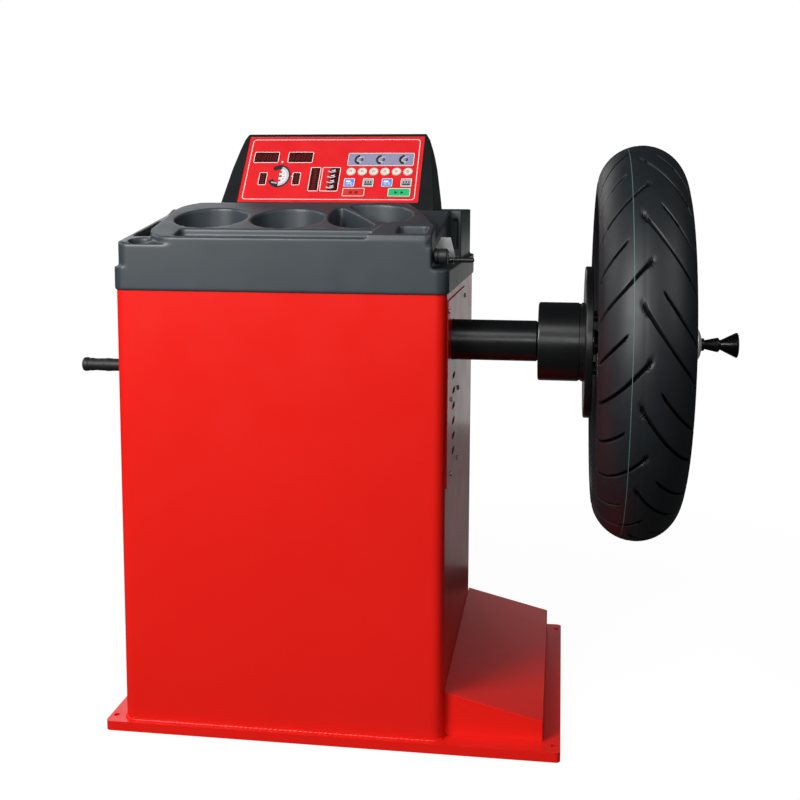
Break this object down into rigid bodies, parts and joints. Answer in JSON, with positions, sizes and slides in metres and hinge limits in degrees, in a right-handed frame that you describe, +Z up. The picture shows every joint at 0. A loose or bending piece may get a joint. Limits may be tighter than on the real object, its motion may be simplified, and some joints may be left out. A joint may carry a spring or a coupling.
{
  "type": "wheel balancer machine",
  "caption": "Floor-standing wheel balancer with a belt-driven spindle holding a motorcycle wheel, a weight tray, a tilted keypad head and a pull-out distance gauge.",
  "frame": {"origin": "on the floor at the centre of the four floor bolt holes, which is the centre of the base pan", "axes": "+X along the spindle towards the wheel, +Y from the front face to the back, +Z up"},
  "size_m": [1.086, 0.749, 0.996],
  "materials": {
    "red_paint": "semi-gloss powder coat",
    "white_steel": "bright zinc",
    "dark_steel": "satin paint",
    "spring_steel": "ground",
    "sensor_brass": "turned",
    "black_paint": "gloss paint",
    "bearing_steel": "ground",
    "ground_steel": "ground",
    "pulley_alloy": "machined",
    "belt_rubber": "matte",
    "motor_paint": "satin paint",
    "black_plastic": "matte",
    "circuit_board": "satin",
    "transformer_wire": "varnished",
    "rocker_red": "gloss",
    "grip_rubber": "satin",
    "tray_plastic": "fine grain",
    "head_plastic": "fine grain",
    "keypad_film": "satin film",
    "window_red": "gloss",
    "key_cream": "satin",
    "key_blue": "satin",
    "key_grey": "satin",
    "key_red": "satin",
    "key_green": "satin",
    "zinc_plate": "zinc plated",
    "pin_black": "gloss",
    "black_oxide": "black oxide",
    "wheel_alloy": "black coated",
    "tyre_rubber": "matte",
    "bright_steel": "turned",
    "nut_black": "gloss"
  },
  "bodies": {
    "machine": {"base_pan": "red_paint", "cabinet_shell": "red_paint", "side_wing": "red_paint", "rear_door": "red_paint", "spindle_cover": "red_paint", "panel_screws": "white_steel", "inner_column": "dark_steel", "flex_plates": "spring_steel", "force_sensors": "sensor_brass", "spindle_carriage": "dark_steel", "spindle_tube": "black_paint", "spindle_bearings": "bearing_steel", "drive_belt": "belt_rubber", "drive_motor": "motor_paint", "motor_bracket": "dark_steel", "encoder_sensor": "black_plastic", "control_board": "circuit_board", "power_supply": "transformer_wire", "power_inlet": "black_plastic", "peg_stud": "ground_steel", "peg_sleeve": "grip_rubber", "weight_tray": "tray_plastic", "display_housing": "head_plastic", "display_back": "head_plastic", "display_board": "circuit_board", "keypad_panel": "keypad_film", "display_windows": "window_red", "gauge_guide": "dark_steel"},
    "spindle": {"spindle_shaft": "ground_steel", "spindle_pulley": "pulley_alloy", "encoder_disc": "black_plastic", "adapter_hub": "black_paint", "flange_disc": "black_paint", "flange_bolts": "black_oxide", "clamping_shaft": "ground_steel", "inner_cone": "ground_steel", "wheel_rim": "wheel_alloy", "tyre": "tyre_rubber", "wheel_bearings": "bearing_steel"},
    "rotor": {"motor_rotor": "ground_steel", "motor_pulley": "pulley_alloy"},
    "clamp_nut": {"outer_cone": "bright_steel", "quick_nut": "nut_black"},
    "gauge_slide": {"gauge_rod": "ground_steel"},
    "gauge_head": {"gauge_arm": "zinc_plate", "gauge_knob": "black_plastic", "gauge_pin": "pin_black"},
    "rocker": {"power_rocker": "rocker_red"},
    "round_key_1": {"round_key_1": "key_cream"},
    "round_key_2": {"round_key_2": "key_cream"},
    "round_key_3": {"round_key_3": "key_cream"},
    "round_key_4": {"round_key_4": "key_cream"},
    "round_key_5": {"round_key_5": "key_cream"},
    "round_key_6": {"round_key_6": "key_cream"},
    "square_key_1": {"square_key_1": "key_blue"},
    "square_key_2": {"square_key_2": "key_grey"},
    "square_key_3": {"square_key_3": "key_blue"},
    "square_key_4": {"square_key_4": "key_grey"},
    "stop_key": {"stop_key": "key_red"},
    "start_key": {"start_key": "key_green"}
  },
  "joints": [
    {"name": "spindle_spin", "type": "hinge", "parent": "machine", "child": "spindle", "pos_m": [0.2, -0.166, 0.652], "axis": [1, 0, 0], "continuous": true},
    {"name": "motor_spin", "type": "hinge", "parent": "machine", "child": "rotor", "pos_m": [-0.1, -0.166, 0.38], "axis": [1, 0, 0], "continuous": true},
    {"name": "nut_release", "type": "slide", "parent": "spindle", "child": "clamp_nut", "axis": [1, 0, 0], "range_m": [0, 0.06]},
    {"name": "gauge_extend", "type": "slide", "parent": "machine", "child": "gauge_slide", "axis": [1, 0, 0], "range_m": [0, 0.19]},
    {"name": "gauge_swing", "type": "hinge", "parent": "gauge_slide", "child": "gauge_head", "pos_m": [0.17, -0.13, 0.786], "axis": [1, 0, 0], "range_deg": [-120, 0]},
    {"name": "power_rocker", "type": "hinge", "parent": "machine", "child": "rocker", "pos_m": [0.125, 0.256, 0.31], "axis": [1, 0, 0], "range_deg": [-16, 0]},
    {"name": "round_key_1_press", "type": "slide", "parent": "machine", "child": "round_key_1", "axis": [0, 0.7694, -0.6388], "range_m": [0, 0.0008], "stiffness_N_per_m": 600, "springref_m": -0.0006},
    {"name": "round_key_2_press", "type": "slide", "parent": "machine", "child": "round_key_2", "axis": [0, 0.7694, -0.6388], "range_m": [0, 0.0008], "stiffness_N_per_m": 600, "springref_m": -0.0006},
    {"name": "round_key_3_press", "type": "slide", "parent": "machine", "child": "round_key_3", "axis": [0, 0.7694, -0.6388], "range_m": [0, 0.0008], "stiffness_N_per_m": 600, "springref_m": -0.0006},
    {"name": "round_key_4_press", "type": "slide", "parent": "machine", "child": "round_key_4", "axis": [0, 0.7694, -0.6388], "range_m": [0, 0.0008], "stiffness_N_per_m": 600, "springref_m": -0.0006},
    {"name": "round_key_5_press", "type": "slide", "parent": "machine", "child": "round_key_5", "axis": [0, 0.7694, -0.6388], "range_m": [0, 0.0008], "stiffness_N_per_m": 600, "springref_m": -0.0006},
    {"name": "round_key_6_press", "type": "slide", "parent": "machine", "child": "round_key_6", "axis": [0, 0.7694, -0.6388], "range_m": [0, 0.0008], "stiffness_N_per_m": 600, "springref_m": -0.0006},
    {"name": "square_key_1_press", "type": "slide", "parent": "machine", "child": "square_key_1", "axis": [0, 0.7694, -0.6388], "range_m": [0, 0.0008], "stiffness_N_per_m": 600, "springref_m": -0.0006},
    {"name": "square_key_2_press", "type": "slide", "parent": "machine", "child": "square_key_2", "axis": [0, 0.7694, -0.6388], "range_m": [0, 0.0008], "stiffness_N_per_m": 600, "springref_m": -0.0006},
    {"name": "square_key_3_press", "type": "slide", "parent": "machine", "child": "square_key_3", "axis": [0, 0.7694, -0.6388], "range_m": [0, 0.0008], "stiffness_N_per_m": 600, "springref_m": -0.0006},
    {"name": "square_key_4_press", "type": "slide", "parent": "machine", "child": "square_key_4", "axis": [0, 0.7694, -0.6388], "range_m": [0, 0.0008], "stiffness_N_per_m": 600, "springref_m": -0.0006},
    {"name": "stop_key_press", "type": "slide", "parent": "machine", "child": "stop_key", "axis": [0, 0.7694, -0.6388], "range_m": [0, 0.0008], "stiffness_N_per_m": 600, "springref_m": -0.0006},
    {"name": "start_key_press", "type": "slide", "parent": "machine", "child": "start_key", "axis": [0, 0.7694, -0.6388], "range_m": [0, 0.0008], "stiffness_N_per_m": 600, "springref_m": -0.0006}
  ],
  "couplings": [
    {"joint": "motor_spin", "follows": "spindle_spin", "ratio": 3.75}
  ]
}
